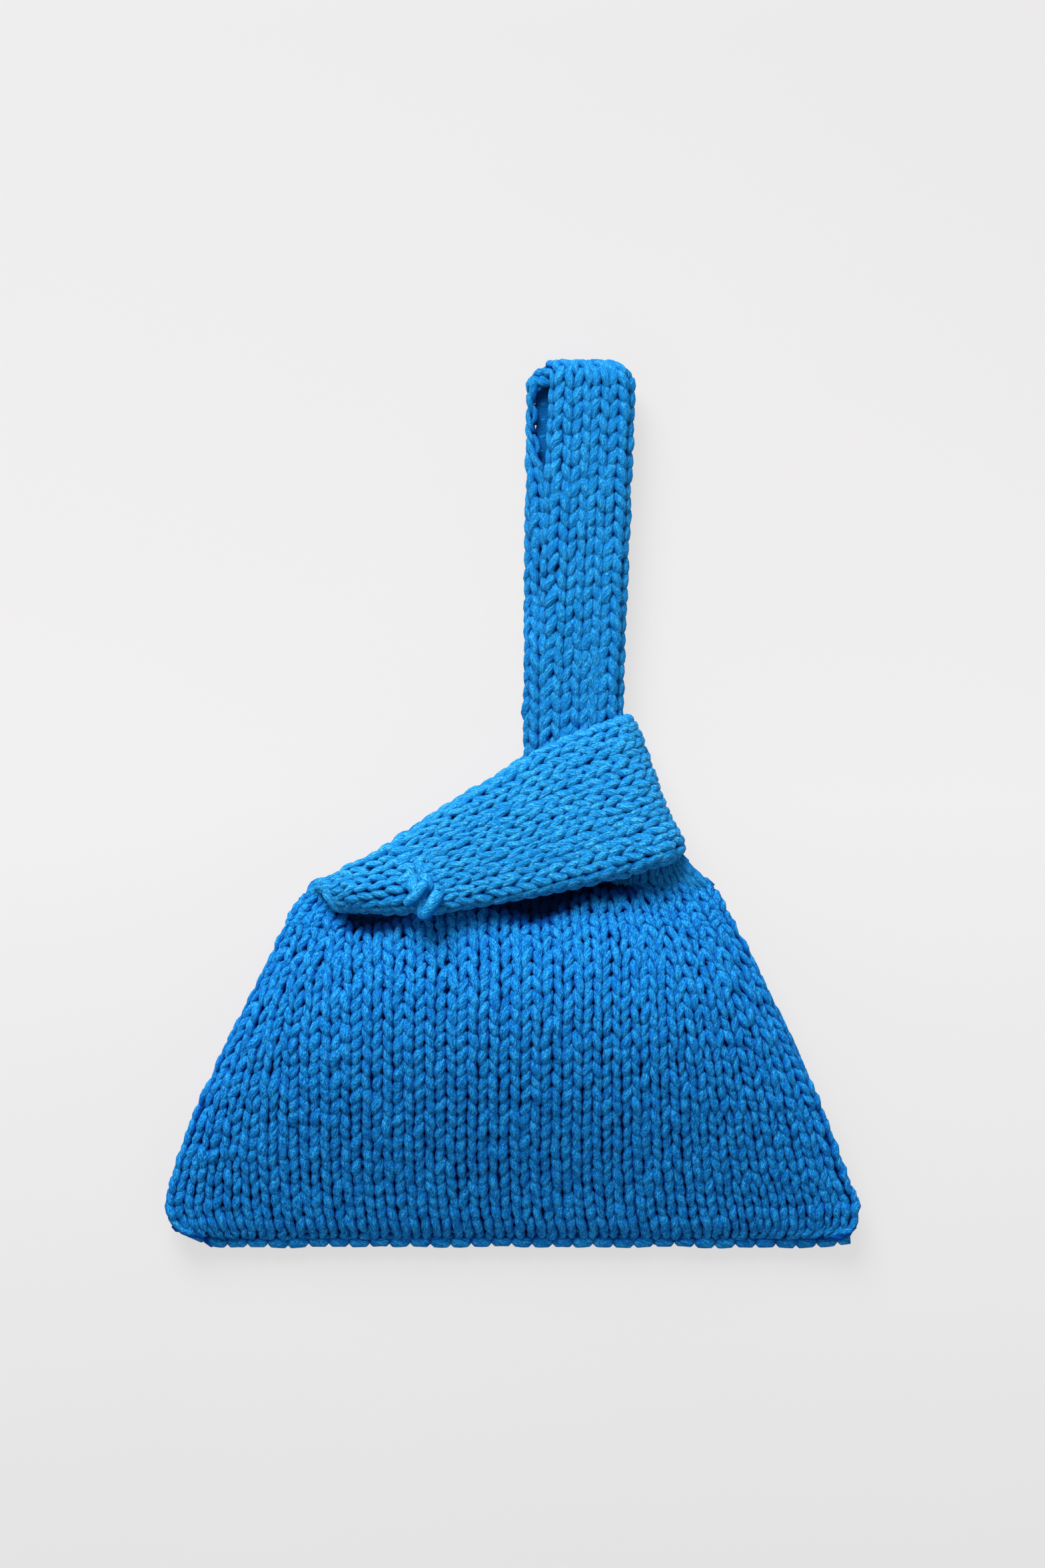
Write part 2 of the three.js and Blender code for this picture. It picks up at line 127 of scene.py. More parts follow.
def front_point(angle, y, sag=1):
    """The front panel's middle layer, from its left edge at an angle of pi over the crown to its right edge
    at 0."""
    half, seam, top = body_section(y)
    low = seam + SIDE_SEAM_RADIUS + GAP
    turn = np.cos(angle)
    left, right = swell(y, LEFT_SWELLS), swell(y, RIGHT_SWELLS)
    x = (half - HALF_KNIT) * turn + left * np.minimum(turn, 0) + right * np.maximum(turn, 0)
    drop = sag * lerp(SAG_LEFT, SAG_RIGHT, smooth(x, *SAG_CHANGE)) * mouth_sag(x, y)
    bend = EDGE_BEND * np.sin(angle) * smooth(Y_PANEL + EDGE_BEND_TOP - y, 0, EDGE_BEND_RUN)
    return stack(x, y, low + (top - low - HALF_KNIT) * np.sin(angle) - drop - bend)


def normal_of(point, u, v, du, dv):
    a = point(u + du, v) - point(u - du, v)
    b = point(u, v + dv) - point(u, v - dv)
    return unit(np.cross(a, b))


class Panel:
    """A panel laid out by q, the distance in mm across it from its middle line, and by height y."""
    MARGIN, HEIGHTS, TURNS = 12, 90, 241

    def __init__(self, point, y_low, y_high, **flat):
        self.point = point
        self.ys = np.linspace(y_low - self.MARGIN, y_high + self.MARGIN, self.HEIGHTS)
        self.turns = np.linspace(math.pi, 0, self.TURNS)
        arcs = np.array([run_length(point(self.turns, np.full_like(self.turns, y), **flat)) for y in self.ys])
        self.arcs = arcs - arcs[:, -1:] / 2

    def edge(self, y):
        return np.interp(y, self.ys, self.arcs[:, -1])

    def angle(self, q, y):
        f = np.clip((y - self.ys[0]) / (self.ys[1] - self.ys[0]), 0, len(self.ys) - 1.001)
        i = f.astype(int)
        out = np.empty_like(q)
        for k in np.unique(i):
            m = i == k
            low = np.interp(q[m], self.arcs[k], self.turns)
            high = np.interp(q[m], self.arcs[k + 1], self.turns)
            out[m] = lerp(low, high, f[m] - k)
        return out

    def lay(self, q, y):
        """The points at q and y, and which way the fabric faces there."""
        angle = self.angle(q, y)
        return self.point(angle, y), normal_of(self.point, angle, y, -1e-3, 1e-2)

    def purl_side(self, low, high, rows=50, columns=80, corner=0.96):
        """Grid of points on the matted purl side, drawn in at the rounded corners. In the gaps between the
        stitches it shows as painted shade.
        """
        y = np.repeat(np.linspace(low, high, rows), columns)
        q = np.tile(np.linspace(-1, 1, columns), rows) * self.edge(y)
        q *= lerp(corner, 1, smooth(y, Y_CORNER, Y_CORNER + 10))
        at, up = self.lay(q, y)
        return (at - PURL * up).reshape(rows, columns, 3)


def wander(count, every, amount):
    """Slow random drift along a yarn."""
    knots = rng.normal(0, amount, count // every + 3)
    return np.interp(np.arange(count) / every, np.arange(len(knots)), knots)


STITCH_STAND = 1.6  # how far a stitch's legs stand out of the fabric's middle
LEG_SLANT, LEG_PLACE, LEG_RISE, LEG_STAND, LEG_PLUMP = 0.2, 0.03, 0.16, 0.22, 0.12  # chance shares of one leg
STITCH_TALL, ROW_DRIFT, ROW_KEEP = 0.07, 0.1, 0.85  # chance shares of a stitch, and of a column up the rows
MOST_STITCHES = 120
DRIFT_EVERY, DRIFT = 5, 0.22  # the yarn strays by this much, anew at every so many points


def knit_rows(rows, steps=16, reach=0.9, lean=0.165, loose=1.0):
    """Path of one continuous yarn through rows of stitches. rows holds the edges of the stitches, the height,
    the height of a row and how far each edge leans for every mm up. A stitch has steps points, reaches into
    the next rows by reach, and slants its legs by lean. loose is how uneven the stitches are.
    Returns how far along and up each point lies, how far it stands out, and how plump the yarn is."""
    us, vs, zs, fat = [], [], [], []
    drift = np.zeros(MOST_STITCHES)
    lean = np.broadcast_to(lean, len(rows))
    t = (np.arange(steps) + 0.5) / steps
    turn = 2 * math.pi * t
    first = (t < 0.5)[None]
    bend = np.array([0.25, 0.5, 0.75])
    for number, (edges, height, row, tilt) in enumerate(rows):
        edges = np.asarray(edges, float)
        wide = np.diff(edges)[:, None]
        count = len(wide)

        def leg(amount):
            """A chance difference of each stitch's left and right leg, faded in and out along the leg."""
            left, right = rng.normal(0, loose * amount, (2, count, 1))
            return np.where(first, left, right) * np.abs(np.sin(turn))

        slant = lean[number] * (1 + leg(LEG_SLANT)) * np.sin(2 * turn)
        u = edges[:-1, None] + wide * (t + slant + leg(LEG_PLACE))
        tall = 1 + rng.normal(0, STITCH_TALL * loose, (count, 1))
        v = height - row * reach * np.cos(turn) * tall + row * leg(LEG_RISE)
        drift = ROW_KEEP * drift + rng.normal(0, ROW_DRIFT * loose, MOST_STITCHES)
        column = drift[MOST_STITCHES // 2 - count // 2:][:count, None]
        v = v + row * column * np.clip(2.5 * np.sin(turn / 2), 0, 1)
        u = u + 0.5 * (tilt[:-1] + tilt[1:])[:, None] * (v - height)
        z = STITCH_STAND * (2 * np.abs(np.sin(turn)) ** 0.7 - 1 + 0.45 * np.cos(turn) + leg(LEG_STAND))
        f = (0.66 + 0.46 * np.sin(turn) ** 2 + leg(LEG_PLUMP)) * np.clip(wide / wide.max(), 0.75, 1)
        back = -1 if number % 2 else 1
        u, v, z, f = (part.ravel()[::back] for part in (u, v, z, f))
        for path, part in zip((us, vs, zs, fat), (u, v, z, f)):
            path.append(part)
        if number + 1 < len(rows):
            far = 0 if number % 2 else -1
            out = 0.12 * back * wide[far, 0]
            next_edges, next_height, next_row, _ = rows[number + 1]
            us.append(lerp(u[-1], next_edges[far], bend) + out * np.sin(math.pi * bend))
            vs.append(lerp(v[-1], next_height - reach * next_row, bend))
            zs.append(np.full(3, -0.4 * STITCH_STAND))
            fat.append(np.full(3, 0.9))
    return (np.concatenate(path) for path in (us, vs, zs, fat))


YARN_TWIST = 0.16  # turn of the tape's strands for every mm
ROLL_EVERY, PLUMP_EVERY, PLUMP_DRIFT = 9, 7, 0.04  # the tape rolls and swells anew at every so many points
BAKE_STRIP, BAKE_FILL = 420, 0.9  # rings of yarn in one lane of the texture, and the share of a lane in use
# Painted shade of the matted purl side: a set facing and height for the shading, darker on the straps. The
# purl side fills the gaps between the stitches with this painted shade.
PURL_SHADE_FACING, PURL_SHADE, STRAP_PURL_SHADE = 0.7, 0.8, -0.3  # shading of the matted purl side


def yarn_mesh(name, middle, up, stand, fat, half_wide, half_thick, sides,
              roll=0.35, under=None, painted_shade_depth=0.0, both=False):
    """A soft flattened yarn swept along a path that stands out of the fabric's middle by stand. It lies over
    the matted purl side, the grid of points under, which also fills the gaps between the stitches with
    painted shade.
    Every vertex keeps its length along and turn round the yarn, and how high it stands and how far it faces
    out, which set its painted shade; the height is lowered further where shadow is painted into the sunken
    mouth.
    With both, the inside of a strap gets the painted shade of its face, and yarn on a strap's upright sides
    is painted lighter where it faces up."""
    centre = middle + up * stand[:, None]
    count = len(centre)
    tangent = unit(np.gradient(centre, axis=0))
    side = unit(np.cross(tangent, up))
    over = np.cross(side, tangent)
    tilt = wander(count, ROLL_EVERY, roll)[:, None]
    side, over = side * np.cos(tilt) + over * np.sin(tilt), over * np.cos(tilt) - side * np.sin(tilt)
    plump = (fat * (1 + wander(count, PLUMP_EVERY, PLUMP_DRIFT)))[:, None]
    ring = np.arange(sides) * 2 * math.pi / sides
    verts = (centre[:, None]
             + (side * half_wide * plump)[:, None] * np.cos(ring)[None, :, None]
             + (over * half_thick * plump)[:, None] * np.sin(ring)[None, :, None])
    along = run_length(centre)[:, None]
    turned = ring[None] + along * YARN_TWIST
    yarn = stack(np.cos(turned), np.sin(turned), along)
    height = np.einsum("nsk,nk->ns", verts - middle[:, None], up) - np.reshape(painted_shade_depth, (-1, 1))
    off = unit(verts - centre[:, None])
    facing = np.einsum("nsk,nk->ns", off, up)
    # Painted shade on straps: the inside gets the shade of the face, and yarn on the upright sides is painted
    # lighter where it faces up.
    if both:
        inside = (up[:, 2:] < -0.3) & (facing < 0)
        height, facing = np.where(inside, -height, height), np.where(inside, -facing, facing)
        facing = np.where(np.abs(up[:, 2:]) < 0.6, np.maximum(facing, 0.9 * off[..., 2]), facing)
    height, facing = height.ravel(), facing.ravel()
    points, yarn = verts.reshape(-1, 3), yarn.reshape(-1, 3)

    i = np.arange(count - 1)[:, None] * sides
    k = np.arange(sides)[None]
    k2 = (k + 1) % sides
    quads = np.stack([i + k, i + sides + k, i + sides + k2, i + k2], axis=-1).reshape(-1, 4)
    lanes = math.ceil((count - 1) / BAKE_STRIP) + 1
    n, s = np.repeat(np.arange(count - 1), sides), np.tile(np.arange(sides), count - 1)
    lane, place = np.divmod(n, BAKE_STRIP)
    x0, x1 = place / BAKE_STRIP, (place + 1) / BAKE_STRIP
    y0, y1 = ((lane + BAKE_FILL * (s + step) / sides) / lanes for step in (0, 1))
    uv = np.stack([x0, y0, x1, y0, x1, y1, x0, y1], axis=-1).reshape(-1, 2)
    if under is not None:
        n, m = under.shape[0] - 1, under.shape[1] - 1
        i, k = (c.ravel() for c in np.meshgrid(np.arange(n), np.arange(m), indexing="ij"))
        corners = np.stack([[i, k], [i + 1, k], [i + 1, k + 1], [i, k + 1]])
        quads = np.concatenate([quads, len(points) + (corners[:, 0] * (m + 1) + corners[:, 1]).T])
        spread = np.stack([corners[:, 0] / n, (lanes - 1 + BAKE_FILL * corners[:, 1] / m) / lanes], axis=-1)
        uv = np.concatenate([uv, spread.transpose(1, 0, 2).reshape(-1, 2)])
        sheet = under.reshape(-1, 3)
        points, yarn = np.concatenate([points, sheet]), np.concatenate([yarn, sheet])
        height = np.concatenate([height, np.full(len(sheet), STRAP_PURL_SHADE if both else PURL_SHADE)])
        facing = np.concatenate([facing, np.full(len(sheet), PURL_SHADE_FACING)])
    last = (count - 1) * sides
    caps = [list(range(sides)), list(range(last, last + sides))[::-1]]
    uv = np.concatenate([uv, np.zeros((2 * sides, 2))])

    mesh = bpy.data.meshes.new(name)
    mesh.from_pydata((points / 1000).tolist(), [], quads.tolist() + caps)
    mesh.polygons.foreach_set("use_smooth", np.ones(len(mesh.polygons), bool))
    strands = mesh.attributes.new("yarn", "FLOAT_VECTOR", "POINT")
    strands.data.foreach_set("vector", yarn.astype(np.float32).ravel())
    for key, value in (("height", height), ("facing", facing)):
        mesh.attributes.new(key, "FLOAT", "POINT").data.foreach_set("value", value.astype(np.float32))
    mesh.uv_layers.new(name="OFBake").data.foreach_set("uv", uv.astype(np.float32).ravel())
    mesh.update()
    piece = bpy.data.objects.new(name, mesh)
    bpy.context.collection.objects.link(piece)
    return piece


def add_node(tree, kind, **settings):
    """A new shader node, with its inputs and settings given by name."""
    node = tree.nodes.new(kind)
    for key, value in settings.items():
        if key in node.inputs:
            node.inputs[key].default_value = value
        else:
            setattr(node, key, value)
    return node


def ramp(tree, value, low, dark, high, light):
    """Runs from dark to light while value runs from low to high."""
    limits = {"From Min": low, "From Max": high, "To Min": dark, "To Max": light}
    node = add_node(tree, "ShaderNodeMapRange", **limits)
    tree.links.new(value, node.inputs["Value"])
    return node.outputs["Result"]


def combine(tree, operation, a, b):
    node = add_node(tree, "ShaderNodeMath", operation=operation)
    tree.links.new(a, node.inputs[0])
    tree.links.new(b, node.inputs[1])
    return node.outputs["Value"]


def yarn_material(name, deep, light, pale):
    """Matt cotton tape: lengthwise strands, fine threads and small pin holes of its own, with painted shade
    deep between the stitches and on the yarn's sides, a painted highlight on the highest tops, and painted
    shadow in the sunken mouth."""
    mat = bpy.data.materials.new(name)
    mat.use_nodes = True
    tree = mat.node_tree
    shader = tree.nodes["Principled BSDF"]
    for key, value in (("Roughness", 0.9), ("Specular IOR Level", 0.05), ("Sheen Weight", 0.03),
                       ("Sheen Roughness", 0.4), ("Sheen Tint", (0.35, 0.7, 1.0, 1))):
        shader.inputs[key].default_value = value
    yarn = add_node(tree, "ShaderNodeAttribute", attribute_name="yarn").outputs["Vector"]
    height = add_node(tree, "ShaderNodeAttribute", attribute_name="height").outputs["Fac"]
    facing = add_node(tree, "ShaderNodeAttribute", attribute_name="facing").outputs["Fac"]

    def noise(scale, detail, size):
        placed = add_node(tree, "ShaderNodeMapping", Scale=scale)
        tree.links.new(yarn, placed.inputs["Vector"])
        texture = add_node(tree, "ShaderNodeTexNoise", Scale=size, Detail=detail, Roughness=0.6)
        tree.links.new(placed.outputs["Vector"], texture.inputs["Vector"])
        return texture.outputs["Fac"]

    strand = noise((1.0, 1.0, 0.12), 1, 1.7)
    thread = noise((3.2, 3.2, 0.55), 4, 1.7)
    speck = noise((2.2, 2.2, 1.1), 1, 1.9)
    # Painted shade: darker where the yarn lies low in the fabric and where it faces sideways, between the
    # stitches. Threads, strands and pin holes are the tape's own texture.
    shade_and_threads = ramp(tree, height, -0.5, 0.2, 2.0, 1.0)
    for part in (ramp(tree, facing, 0.15, 0.1, 0.85, 1.0), ramp(tree, thread, 0.39, 0.15, 0.61, 1.48),
                 ramp(tree, strand, 0.34, 0.5, 0.62, 1.2), ramp(tree, speck, 0.31, 0.1, 0.37, 1.0)):
        shade_and_threads = combine(tree, "MULTIPLY", shade_and_threads, part)
    # The tone runs from the painted shade colour deep to the painted lit colour light.
    tint = add_node(tree, "ShaderNodeMix", data_type="RGBA", A=(*deep, 1), B=(*light, 1))
    tree.links.new(shade_and_threads, tint.inputs["Factor"])
    # Painted highlight: the tone turns pale where the yarn stands highest, faces out and its threads are
    # strongest.
    painted_highlight = add_node(tree, "ShaderNodeMix", data_type="RGBA", B=(*pale, 1))
    tree.links.new(tint.outputs["Result"], painted_highlight.inputs["A"])
    tree.links.new(ramp(tree, shade_and_threads, 0.9, 0.0, 1.45, 1.0), painted_highlight.inputs["Factor"])
    # Painted shadow: much darker where the height has been lowered deep in the mouth, and a little at the
    # lowest parts of the stitches.
    painted_deep_shadow = add_node(tree, "ShaderNodeVectorMath", operation="SCALE")
    tree.links.new(painted_highlight.outputs["Result"], painted_deep_shadow.inputs[0])
    tree.links.new(ramp(tree, height, -8.0, 0.2, -3.5, 1.0), painted_deep_shadow.inputs["Scale"])
    tree.links.new(painted_deep_shadow.outputs["Vector"], shader.inputs["Base Color"])
    coarse = add_node(tree, "ShaderNodeBump", Strength=0.6, Distance=0.0022)
    tree.links.new(strand, coarse.inputs["Height"])
    fine = add_node(tree, "ShaderNodeBump", Strength=0.6, Distance=0.0009)
    tree.links.new(thread, fine.inputs["Height"])
    tree.links.new(coarse.outputs["Normal"], fine.inputs["Normal"])
    tree.links.new(fine.outputs["Normal"], shader.inputs["Normal"])
    return mat


# Painted shade colour between the stitches, painted lit colour on their tops and painted highlight colour.
SHADED_BLUE, LIT_BLUE, HIGHLIGHT_BLUE = (0.0001, 0.06, 0.37), (0.0105, 0.28, 0.64), (0.034, 0.36, 0.74)
tape = yarn_material("blue cotton tape", SHADED_BLUE, LIT_BLUE, HIGHLIGHT_BLUE)
LEFT_COLUMNS, RIGHT_COLUMNS = 5, 8  # columns that follow the slanted sides
MOST_COLUMNS = 24  # upright columns to either side of the middle, before the sides cut them off
RIGHT_NARROWING = 0.14  # columns right of the middle get narrower towards the mouth


def panel_rows(panel, low, high):
    """Stitch edges of every row, the rows evenly spaced along the panel's rise and fall. Columns stand
    upright in the middle, and follow the slant of the sides beside them, knitted together where the two
    meet."""
    k = np.arange(-MOST_COLUMNS, MOST_COLUMNS + 1)

    def spread(y, keep):
        reach = panel.edge(y) + 1
        columns = k * WALE * (1 - RIGHT_NARROWING * (y - low) / (high - low) * smooth(k, 0, 10))
        if keep is None:
            keep = ((columns > (LEFT_COLUMNS - 0.5) * SIDE_WALE - reach)
                    & (columns < reach - (RIGHT_COLUMNS - 0.5) * SIDE_WALE))
        inside = columns[keep]
        left = np.linspace(-reach, inside[0], LEFT_COLUMNS + 1)
        right = np.linspace(inside[-1], reach, RIGHT_COLUMNS + 1)
        return np.concatenate([left[:-1], inside, right[1:]]), keep

    steps = np.linspace(low, high, 300)
    climb = run_length(panel.point(np.full(300, math.pi / 2), steps))
    heights = np.interp(np.linspace(0, climb[-1] - 0.35 * ROW, round(climb[-1] / ROW)), climb, steps)
    rows = []
    for y, row in zip(heights, np.gradient(heights)):
        edges, keep = spread(y, None)
        rows.append((edges, y, row, spread(y + 1, keep)[0] - edges))
    return rows


front = Panel(front_point, Y_PANEL, Y_MOUTH, sag=0)
rows = panel_rows(front, Y_PANEL, Y_MOUTH)
q, y, z, fat = knit_rows(rows, steps=13, lean=np.linspace(0.15, 0.215, len(rows)), loose=0.75)
q = q + wander(len(q), DRIFT_EVERY, DRIFT)
y = y + wander(len(y), DRIFT_EVERY, DRIFT)
at, up = front.lay(q, y)
# The rim's drop into the mouth also paints shadow into this yarn, by lowering its height for the shading.
front_knit = yarn_mesh("front_panel_knit", at, up, z, fat, half_wide=2.36, half_thick=2.0, sides=8,
                       under=front.purl_side(Y_PANEL - 1, Y_MOUTH + 1),
                       painted_shade_depth=SAG_LEFT * mouth_sag(at[:, 0], y))
front_knit.data.materials.append(tape)
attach(front_knit, "bag")
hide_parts("front_panel")


# Back panel
# The same stocking stitch in the same tape, lying flat on the floor with its knit face down. Its sides roll
# up to the side seams. It ends just below the short loop's back strand, so the loop's place is settled here.
BACK_ROLL = 34.0
GRAFT_X, GRAFT_Y, LOOP_ANGLE, LOOP_REACH = -45.0, -32.0, math.radians(19.5), 125.0
GRAFT_WIDTH, LOOP_END_WIDTH, LOOP_TUCK = 40.0, 74.0, 6.0
LOOP_BOW, BOW_TURNS, BOW_START = 5.0, 1.37, 0.2  # swing of the upper edge, its half turns and where it starts
UPPER_SWELLS = ((0.1, 0.15, 1.7), (0.4, 0.1, -1.5))  # share of the length, spread and amount
LOWER_BOW = 2.0
LOOP_FLEX, BIND_OFF_RADIUS = 15.0, 3.0
FLEX_END = -HALF_KNIT - GAP
FLEX_START = FLEX_END - LOOP_FLEX
loop_run = np.array([math.cos(LOOP_ANGLE), math.sin(LOOP_ANGLE), 0])
loop_side = np.array([-math.sin(LOOP_ANGLE), math.cos(LOOP_ANGLE), 0])


def loop_plan(along, across):
    """The short loop from above: along in mm from its seam, across from 0 at its lower edge to 1 at its upper
    one."""
    along, across = np.broadcast_arrays(np.asarray(along, float), across)
    share = along / LOOP_REACH
    width = lerp(GRAFT_WIDTH, LOOP_END_WIDTH, share)
    upper = LOOP_BOW * np.sin(BOW_TURNS * math.pi * (share - BOW_START)) + swell(share, UPPER_SWELLS)
    tuck = LOOP_TUCK * np.clip(along / FLEX_START, 0, 1)
    lower = tuck - LOWER_BOW * np.sin(math.pi * np.clip(share, 0, 1))
    sideways = (across - 0.5) * width + lerp(lower, upper, across)
    return np.array([GRAFT_X, GRAFT_Y, 0]) + along[..., None] * loop_run + sideways[..., None] * loop_side


Y_BACK_MOUTH = float(loop_plan(FLEX_START, 0.0)[1]) - 2 * BIND_OFF_RADIUS - HALF_KNIT


def back_point(angle, y):
    half, seam, _ = body_section(y)
    high = seam - SIDE_SEAM_RADIUS - GAP
    reach = half - HALF_KNIT
    roll = np.clip(1 - reach * (1 - np.abs(np.cos(angle))) / (BACK_ROLL - HALF_KNIT), 0, 1)
    return stack(reach * np.cos(angle), y, high - (high - HALF_KNIT) * np.sqrt(1 - roll * roll))


class BackPanel(Panel):
    """A panel that faces the floor."""

    def lay(self, q, y):
        at, up = super().lay(q, y)
        return at, -up


back = BackPanel(back_point, Y_PANEL, Y_BACK_MOUTH)
q, y, z, fat = knit_rows(panel_rows(back, Y_PANEL, Y_BACK_MOUTH), steps=12)
at, up = back.lay(q, y)
flattened = np.minimum(z, 0.9)
back_knit = yarn_mesh("back_panel_knit", at, up, flattened, fat, half_wide=2.2, half_thick=1.95, sides=6,
                      under=back.purl_side(Y_PANEL - 1, Y_BACK_MOUTH + 1))
back_knit.data.materials.append(tape)
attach(back_knit, "bag")
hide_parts("back_panel")


# Base seam
# The same tape sewn in even stitches along the base, one run in front of the edge and one behind it, which
# closes the bag. Its ends rise a little round the corners.
SEAM_STITCH, SEAM_STEPS, SEAM_SETBACK, SEAM_TAIL = 9.7, 14, 4.0, 6.0
SEAM_STAND, SEAM_DIP, SEAM_PLUMP, SEAM_THIN = 0.9, 2.2, 1.08, 0.34  # on a stitch, and less between stitches
LEFT_RISE, RIGHT_RISE = 6.0, 2.0
SEAM_OUT = np.array([0, -0.55, 0.83])
seam_blue = yarn_material("blue sewing tape", SHADED_BLUE, LIT_BLUE, HIGHLIGHT_BLUE)


def even_stitches(length, pitch, phase):
    """A yarn that runs level for most of each stitch and dips between stitches."""
    v = np.arange(0, length, pitch / SEAM_STEPS)
    part = (v / pitch + phase) % 1
    return v, smooth(np.abs(part - 0.5), 0.28, 0.48)


base_reach = float(body_section(np.array(Y_PANEL))[0]) - SEAM_SETBACK
for name, phase, inward, lift in (("base_seam_yarn", 0.0, 1.5, 1.4),
                                  ("base_seam_inner_yarn", 0.5, 3.8, -0.4)):
    v, dip = even_stitches(2 * base_reach + SEAM_TAIL, SEAM_STITCH, phase)
    x = v - base_reach
    rise = (LEFT_RISE * smooth(-x, base_reach - 16, base_reach + 4)
            + RIGHT_RISE * smooth(x, base_reach - 10, base_reach + 8))
    middle = stack(x, Y_BASE + inward + rise, BASE_SEAM_RADIUS + lift)
    stand = SEAM_STAND - SEAM_DIP * dip + wander(len(v), SEAM_STEPS, 0.3)
    plump = SEAM_PLUMP - SEAM_THIN * dip + wander(len(v), SEAM_STEPS, 0.06)
    base_seam = yarn_mesh(name, middle, np.broadcast_to(SEAM_OUT, middle.shape), stand, plump,
                          half_wide=2.9, half_thick=1.9, sides=12, roll=0.2)
    base_seam.data.materials.append(seam_blue)
    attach(base_seam, "bag")
    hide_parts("base_seam")


# Side seams
# Thinner sewing yarn of the same cotton that laces the edges of the two panels together, one turn for each
# row, from the base to the shoulders.
LACE_WIDE, LACE_HIGH = 0.7, 1.2
for name, side in (("left_side_seam", -1), ("right_side_seam", 1)):
    height = np.linspace(Y_PANEL + 3, Y_BACK_MOUTH, 190)
    half, seam, _ = body_section(height)
    lace = 2 * math.pi * (height - height[0]) / ROW
    x = side * (half - HALF_KNIT + LACE_WIDE * np.cos(lace))
    middle = stack(x, height, seam + LACE_HIGH * np.sin(lace))
    # The seam's up leans out and upwards, so that its painted shade makes it look lit from above.
    side_seam = yarn_mesh(name + "_yarn", middle, np.broadcast_to([side * 0.7, 0, 0.71], middle.shape),
                          0 * height, 1 + 0 * height, half_wide=1.5, half_thick=1.3, sides=6, roll=0.1)
    side_seam.data.materials.append(seam_blue)
    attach(side_seam, "bag")
    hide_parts(name)


# Mouth edges
# The last row of each panel is cast off between the two shoulders. Each stitch is pulled over the next one,
# so the tape makes a chain of links along the rim.
SHORT_SHOULDER, LONG_SHOULDER, CHAIN_LINK = 14.0, 46.0, 9.0
CHAIN_CLEAR = 2.0  # from a shoulder to the chain's end


def rim_angle(y, inset, side):
    reach = float(body_section(np.array(y))[0]) - HALF_KNIT
    return math.acos(side * (reach - inset) / reach)


def soften(values, reach):
    """Each value becomes the mean of those up to reach places away."""
    width = 2 * reach + 1
    return np.convolve(np.pad(values, reach, "edge"), np.ones(width) / width, "valid")


def chain(links, steps=20):
    """Links along v, one apart: up one leg, over the head and down the other leg, then on behind the next
    link."""
    t = np.arange(links * steps) / steps
    part = t % 1
    knots = np.array([0, 0.2, 0.38, 0.46, 0.54, 0.72, 0.9, 1.0])
    u = np.interp(part, knots, [-0.2, -0.45, -0.4, -0.15, 0.15, 0.45, 0.25, -0.2])
    v = np.interp(part, knots, [0, 0.6, 1.2, 1.45, 1.45, 0.9, 0.2, 1.0])
    z = np.interp(part, knots, [-0.8, 1.0, 0.7, -0.2, -0.2, 1.0, -0.6, -0.8])
    return (soften(values, 1) for values in (u, v + np.floor(t), z))


def mouth_edge(name, point, y, face):
    ends = rim_angle(y, SHORT_SHOULDER + CHAIN_CLEAR, -1), rim_angle(y, LONG_SHOULDER + CHAIN_CLEAR, 1)
    angles = np.linspace(*ends, 60)
    arc = run_length(point(angles, np.full(60, y)))
    links = int(arc[-1] // CHAIN_LINK)
    u, v, z = chain(links)
    angle = np.interp(v * arc[-1] / (links + 0.6), arc, angles)
    height = np.full(len(v), y)
    middle = point(angle, height) + stack(0 * u, GAP + BIND_OFF_RADIUS + 3.2 * u, 0)
    up = face * normal_of(point, angle, height, -1e-3, 1e-2)
    edge = yarn_mesh(name + "_yarn", middle, up, 1.2 * z, 1 + 0 * z,
                     half_wide=1.7, half_thick=1.4, sides=7, roll=0.1)
    edge.data.materials.append(tape)
    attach(edge, "bag")
    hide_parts(name)


mouth_edge("front_mouth_edge", front_point, Y_MOUTH, 1)
mouth_edge("back_mouth_edge", back_point, Y_BACK_MOUTH, -1)


# Short loop
# A strap knitted on from the left shoulder of both panels. The back one is carried round the long handle and
# sewn to the front one. Stocking stitch rolls in at its free edges, so the strap's edges curl inwards.
FLOOR_LAYER = HALF_KNIT
LAYER = KNIT + 2 * GAP
FRONT_STRAND = FLOOR_LAYER + 2 * LAYER
LOOP_SLACK, LOOP_LIFT, GRAFT_LIFT, GRAFT_RISE, LOOP_CROWN = 3.0, 14.0, 15.0, 9.0, 2.5
LOOP_UPPER = FRONT_STRAND + KNIT + LOOP_SLACK
SEAM_CLEAR = 1.5  # from a sewn seam to the knit beside it
# The same tape as the panels in a lit copy: less painted shade between the stitches and lighter painted lit
# and highlight tones.
strap_tape = yarn_material("blue cotton tape of the straps",
                           deep=(0.0008, 0.125, 0.46), light=(0.019, 0.305, 0.595), pale=(0.07, 0.43, 0.75))


